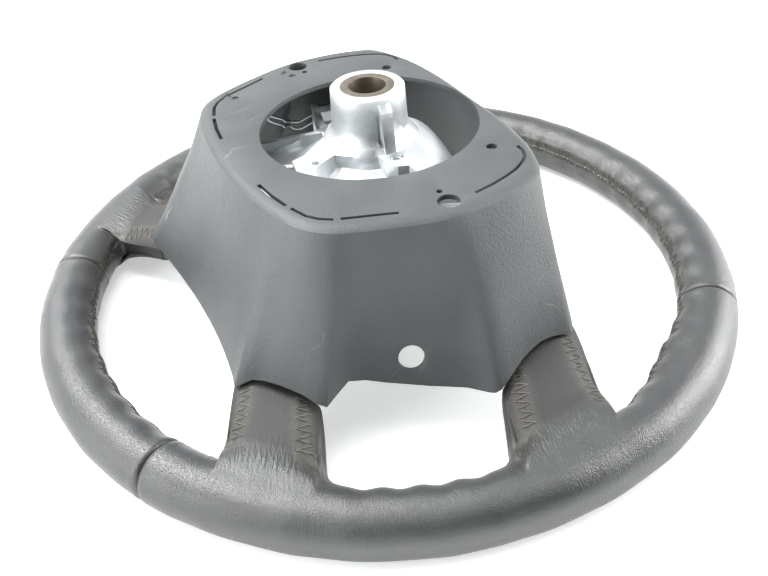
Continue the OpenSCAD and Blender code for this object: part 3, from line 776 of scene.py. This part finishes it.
def lacing_nodes(thread):
    """Geometry nodes that lay a thread to and fro across a seam line, one V for each pitch."""
    tree = bpy.data.node_groups.new("lacing", "GeometryNodeTree")
    face = tree.interface
    face.new_socket("Seam", in_out="INPUT", socket_type="NodeSocketGeometry")
    sizes = {"Pitch": 0.0043, "Width": 0.0080, "Thread": 0.00021, "Rise": 0.0019, "Sink": -0.0009}
    for name, value in sizes.items():
        socket = face.new_socket(name, in_out="INPUT", socket_type="NodeSocketFloat")
        socket.default_value = value
    face.new_socket("Lacing", in_out="OUTPUT", socket_type="NodeSocketGeometry")
    given = add(tree, "NodeGroupInput").outputs
    line = add(tree, "GeometryNodeMeshToCurve", {0: given["Seam"]})
    spaced = add(
        tree, "GeometryNodeResampleCurve", {"Curve": line.outputs[0], "Length": given["Pitch"]}, mode="LENGTH"
    )
    tangent = add(tree, "GeometryNodeInputTangent")
    up = add(tree, "GeometryNodeInputNamedAttribute", {"Name": "up"}, data_type="FLOAT_VECTOR")
    lifted = add(
        tree, "FunctionNodeAlignRotationToVector", {"Vector": up.outputs[0]}, axis="Z", pivot_axis="AUTO"
    )
    turned = add(
        tree, "FunctionNodeAlignRotationToVector",
        {"Rotation": lifted.outputs[0], "Vector": tangent.outputs[0]}, axis="X", pivot_axis="Z",
    )
    half = add(tree, "ShaderNodeMath", {0: given["Width"], 1: 0.5}, operation="MULTIPLY").outputs[0]
    back = add(tree, "ShaderNodeMath", {0: given["Width"], 1: -0.5}, operation="MULTIPLY").outputs[0]
    step = add(tree, "ShaderNodeMath", {0: given["Pitch"], 1: 0.5}, operation="MULTIPLY").outputs[0]
    early = add(tree, "ShaderNodeMath", {0: given["Pitch"], 1: -0.5}, operation="MULTIPLY").outputs[0]
    threads = add(tree, "GeometryNodeJoinGeometry")
    section = add(tree, "GeometryNodeCurvePrimitiveCircle", {"Resolution": 6, "Radius": given["Thread"]})
    for start_x, start_y, end_x, end_y in [(early, back, 0.0, half), (0.0, half, step, back)]:
        ends = []
        for x, y in [(start_x, start_y), (end_x, end_y)]:
            ends.append(add(tree, "ShaderNodeCombineXYZ", {0: x, 1: y, 2: given["Sink"]}).outputs[0])
        centre = add(tree, "ShaderNodeVectorMath", {0: ends[0], 1: ends[1]}, operation="ADD")
        middle = add(tree, "ShaderNodeVectorMath", {0: centre.outputs[0], "Scale": 0.5}, operation="SCALE")
        lift = add(tree, "ShaderNodeCombineXYZ", {2: given["Rise"]})
        over = add(tree, "ShaderNodeVectorMath", {0: middle.outputs[0], 1: lift.outputs[0]}, operation="ADD")
        path = add(
            tree, "GeometryNodeCurveQuadraticBezier",
            {"Resolution": 5, "Start": ends[0], "Middle": over.outputs[0], "End": ends[1]},
        )
        tube = add(
            tree, "GeometryNodeCurveToMesh",
            {"Curve": path.outputs[0], "Profile Curve": section.outputs[0], "Fill Caps": True},
        )
        tree.links.new(tube.outputs[0], threads.inputs[0])
    bend = add(tree, "GeometryNodeInputNamedAttribute", {"Name": "bend"}, data_type="FLOAT")
    size = add(tree, "ShaderNodeCombineXYZ", {0: 1.0, 1: 1.0, 2: bend.outputs[0]})
    laid = add(
        tree, "GeometryNodeInstanceOnPoints",
        {"Points": spaced.outputs[0], "Instance": threads.outputs[0], "Rotation": turned.outputs[0],
         "Scale": size.outputs[0]},
    )
    real = add(tree, "GeometryNodeRealizeInstances", {0: laid.outputs[0]})
    smooth = add(tree, "GeometryNodeSetShadeSmooth", {0: real.outputs[0]})
    painted = add(tree, "GeometryNodeSetMaterial", {0: smooth.outputs[0], "Material": thread})
    add(tree, "NodeGroupOutput", {0: painted.outputs[0]})
    return tree


def lacing(seams, thread):
    """Lays the stitches along the seams."""
    normals = np.concatenate([s[1] for s in seams])
    points = (np.concatenate([s[0] for s in seams]) + STITCH_LIFT * normals) * MM
    edges, shift = [], 0
    for line, normal in seams:
        # No stitches where the surface turns sharply, and no lone ones between such places
        calm = np.sum(normal[:-1] * normal[1:], axis=1) > CALM_TURN
        run = []
        for i in [*np.flatnonzero(calm), -1]:
            if run and i != run[-1] + 1:
                edges += [(shift + k, shift + k + 1) for k in run] if len(run) > SHORT_RUN else []
                run = []
            run.append(i)
        shift += len(line)
    mesh = bpy.data.meshes.new("lacing")
    mesh.from_pydata(points.tolist(), edges, [])
    attribute = mesh.attributes.new("up", "FLOAT_VECTOR", "POINT")
    attribute.data.foreach_set("vector", normals.astype(np.float32).ravel())
    # The threads bend over the round grip and lie flat on the spokes
    clock = np.degrees(np.arctan2(points[:, 0], points[:, 1]))
    inwards = np.hypot(*core_line(clock)) - np.hypot(points[:, 0], points[:, 1]) / MM
    bend = mesh.attributes.new("bend", "FLOAT", "POINT")
    bend.data.foreach_set("value", (1 - 0.55 * np.clip((inwards - 17) / 8, 0, 1)).astype(np.float32))
    obj = bpy.data.objects.new("lacing", mesh)
    bpy.context.scene.collection.objects.link(obj)
    modifier = obj.modifiers.new("lacing", "NODES")
    modifier.node_group = lacing_nodes(thread)
    apply_modifiers(obj)
    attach(obj, "root")
    return obj


# Rigid pieces: merged copies of the solids with softened edges


def softened_copy(node, material, width, angle=35):
    """A copy of a CAD node with its doubles merged, its edges bevelled and its round faces shaded smooth."""
    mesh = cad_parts[node].data.copy()
    mesh.materials.clear()
    mesh.materials.append(material)
    work = bmesh.new()
    work.from_mesh(mesh)
    bmesh.ops.remove_doubles(work, verts=work.verts, dist=1e-5)
    work.to_mesh(mesh)
    work.free()
    obj = bpy.data.objects.new(node + "_finished", mesh)
    bpy.context.scene.collection.objects.link(obj)
    modifier = obj.modifiers.new("edges", "BEVEL")
    modifier.width = width * MM
    modifier.segments = 2
    modifier.limit_method = "ANGLE"
    modifier.angle_limit = math.radians(angle)
    modifier.harden_normals = False
    apply_modifiers(obj)
    obj.data.shade_smooth()
    obj.data.set_sharp_from_angle(angle=math.radians(angle))
    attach(obj, "root")
    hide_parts(node)
    return obj


# Small pieces

# Corners of the closed bead on the cover's inner wall on the -X side
BEAD = [
    (-98, -21, 75), (-107, -10, 66), (-118, -1, 55), (-118, 3, 54), (-113, 11, 59), (-112, 14, 60),
    (-113, 17, 56), (-121, 6, 48), (-122, 1, 48), (-112, -8, 59), (-99, -22, 72),
]


def closed_tube(name, line, radius, material, sides=8):
    """A ring of round tube along a closed line, in millimetres."""
    ahead = np.roll(line, -1, 0) - np.roll(line, 1, 0)
    ahead /= np.linalg.norm(ahead, axis=1, keepdims=True)
    side = np.cross(ahead, [0, 0, 1.0])
    side /= np.linalg.norm(side, axis=1, keepdims=True)
    up = np.cross(side, ahead)
    turn = np.radians(np.arange(sides) * 360 / sides)[None, :, None]
    points = line[:, None] + radius * (np.cos(turn) * side[:, None] + np.sin(turn) * up[:, None])
    obj = mesh_object(name, points, tube_faces(len(line), sides, endless=True), material)
    face_outwards(obj)
    return obj


def wall_bead(metal):
    """The boomerang-shaped bead, laid on the wall."""
    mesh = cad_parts["rear_cover"].data
    wall = BVHTree.FromPolygons([v.co for v in mesh.vertices], [p.vertices for p in mesh.polygons])
    corners = np.array(BEAD + BEAD[:1], float)
    steps = np.concatenate([[0], np.cumsum(np.linalg.norm(np.diff(corners, axis=0), axis=1))])
    at = np.linspace(0, steps[-1], 90, endpoint=False)
    line = np.stack([np.interp(at, steps, corners[:, k]) for k in range(3)], axis=1)
    # Off the wall a little, so that each point finds the wall's inner face
    line += np.array([2, 0, -1])
    line = np.array([wall.find_nearest(Vector(p * MM))[0] for p in line]) / MM
    for _ in range(3):
        line = (np.roll(line, 1, 0) + 2 * line + np.roll(line, -1, 0)) / 4
    bead = closed_tube("wall_bead", line, 0.6, metal)
    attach(bead, "root")


def puller_threads(metal):
    """The screw thread in each puller hole, as rings with sharp crests."""
    hole_r, pitch, top = 3.4, 1.25, 97.5
    rows = [(hole_r + 0.1, top)]
    for k in range(10):
        rows += [(hole_r - 0.45, top - (k + 0.5) * pitch), (hole_r + 0.1, top - (k + 1) * pitch)]
    rows += [(hole_r + 0.5, rows[-1][1]), (hole_r + 0.5, top)]
    turn = np.radians(np.arange(0, 360, 12))
    for name, x in (("thread_right", 28), ("thread_left", -28)):
        points = np.array([
            [(x + r * c, r * s, z) for c, s in zip(np.cos(turn), np.sin(turn))] for r, z in rows
        ])
        faces = tube_faces(len(rows), len(turn), endless=True)
        thread = mesh_object(name, points, faces, metal, smooth=False)
        face_outwards(thread)
        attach(thread, "root")


# Room


def matte_floor():
    """A plain pale table that keeps the object's shadow and is near white to the camera."""
    material, tree = new_material("pale_table")
    shade = add(tree, "ShaderNodeBsdfDiffuse", {"Color": linear("#eff0f0"), "Roughness": 1})
    glow = add(tree, "ShaderNodeEmission", {"Color": linear("#ffffff"), "Strength": 0.45})
    both = add(tree, "ShaderNodeAddShader", {0: shade.outputs[0], 1: glow.outputs[0]})
    ray = add(tree, "ShaderNodeLightPath")
    seen = add(
        tree, "ShaderNodeMath", {0: ray.outputs["Is Camera Ray"], 1: ray.outputs["Is Glossy Ray"]},
        operation="MAXIMUM",
    )
    mixed = add(tree, "ShaderNodeMixShader", {0: seen.outputs[0], 1: shade.outputs[0], 2: both.outputs[0]})
    finish_material(tree, mixed.outputs[0])
    half = 3000
    corners = [(-half, -half, 0), (half, -half, 0), (half, half, 0), (-half, half, 0)]
    floor = mesh_object("table", corners, [[0, 1, 2, 3]], material, smooth=False)


def lamp(name, place, aim, size, power):
    """A round soft lamp turned towards a point."""
    data = bpy.data.lights.new(name, "AREA")
    data.shape = "DISK"
    data.size = size
    data.energy = power
    obj = bpy.data.objects.new(name, data)
    obj.location = place
    obj.rotation_euler = (Vector(aim) - Vector(place)).to_track_quat("-Z", "Y").to_euler()
    bpy.context.scene.collection.objects.link(obj)


def studio():
    """The table, the room's light and the lamps."""
    matte_floor()
    world = bpy.data.worlds.new("studio")
    world.use_nodes = True
    world.node_tree.nodes.clear()
    tree = world.node_tree
    ray = add(tree, "ShaderNodeLightPath")
    # The room is darker on the side from which the picture is taken, and bright behind and above
    way = add(tree, "ShaderNodeTexCoord").outputs["Generated"]
    towards = add(tree, "ShaderNodeVectorMath", {0: way, 1: (0.98, 0.05, -0.15)}, operation="DOT_PRODUCT")
    facing = towards.outputs["Value"]
    front = add(
        tree, "ShaderNodeMapRange", {"Value": facing, 1: 0.1, 2: 0.85, 3: 1.0, 4: 0.03},
        interpolation_type="SMOOTHSTEP",
    )
    back = add(
        tree, "ShaderNodeMapRange", {"Value": facing, 1: -0.95, 2: -0.1, 3: 1.5, 4: 1.1},
        interpolation_type="SMOOTHSTEP",
    )
    level = add(tree, "ShaderNodeMath", {0: front.outputs[0], 1: back.outputs[0]}, operation="MULTIPLY")
    soft = add(tree, "ShaderNodeBackground", {"Color": linear("#f4f6f8"), "Strength": level.outputs[0]})
    white = add(tree, "ShaderNodeBackground", {"Color": linear("#fdfdfd"), "Strength": 1})
    mixed = add(
        tree, "ShaderNodeMixShader",
        {0: ray.outputs["Is Camera Ray"], 1: soft.outputs[0], 2: white.outputs[0]},
    )
    add(tree, "ShaderNodeOutputWorld", {"Surface": mixed.outputs[0]})
    bpy.context.scene.world = world
    lamp("window", (-0.75, -0.55, 1.3), (0, 0, 0.03), 1.0, 42)
    lamp("left wall", (0.0, -1.3, 0.6), (0, 0, 0.03), 1.0, 15)
    lamp("right wall", (0.4, 1.3, 0.6), (0, 0, 0.03), 1.0, 34)
    lamp("ceiling", (0.2, -0.1, 1.6), (0, 0, 0.03), 0.9, 9)
    bpy.context.scene.view_settings.view_transform = "Standard"


def camera():
    """The camera stands where the rim's two edges fit the photograph."""
    data = bpy.data.cameras.new("camera")
    image_width_px = 768
    focal_px = 895.2
    data.sensor_width = 36
    data.lens = focal_px / image_width_px * data.sensor_width
    data.clip_start = 0.01
    place = Vector((0.3721, -0.1680, 0.3138))
    forward = Vector((-0.7225, 0.3271, -0.6091)).normalized()
    level = forward.cross(Vector((0, 0, 1))).normalized()
    above = level.cross(forward)
    roll = -0.07926
    right = math.cos(roll) * level + math.sin(roll) * above
    up = -math.sin(roll) * level + math.cos(roll) * above
    obj = bpy.data.objects.new("camera", data)
    obj.matrix_world = Matrix((
        (right.x, up.x, -forward.x, place.x),
        (right.y, up.y, -forward.y, place.y),
        (right.z, up.z, -forward.z, place.z),
        (0, 0, 0, 1),
    ))
    bpy.context.scene.collection.objects.link(obj)
    bpy.context.scene.camera = obj


camera()
studio()
seam_lines = leather_panels(worn_leather())
lacing(seam_lines, lacing_thread())
cover_plastic, casting = spark_grained_plastic(), cast_aluminium()
softened_copy("rear_cover", cover_plastic, 0.35)
softened_copy("armature", casting, 0.5)
wall_bead(casting)
puller_threads(casting)
softened_copy("hub_insert", turned_steel(), 0.25)
softened_copy("foam_body", moulded_foam(), 0.2)
softened_copy("cover_screws", zinc_plated_steel(), 0.2)
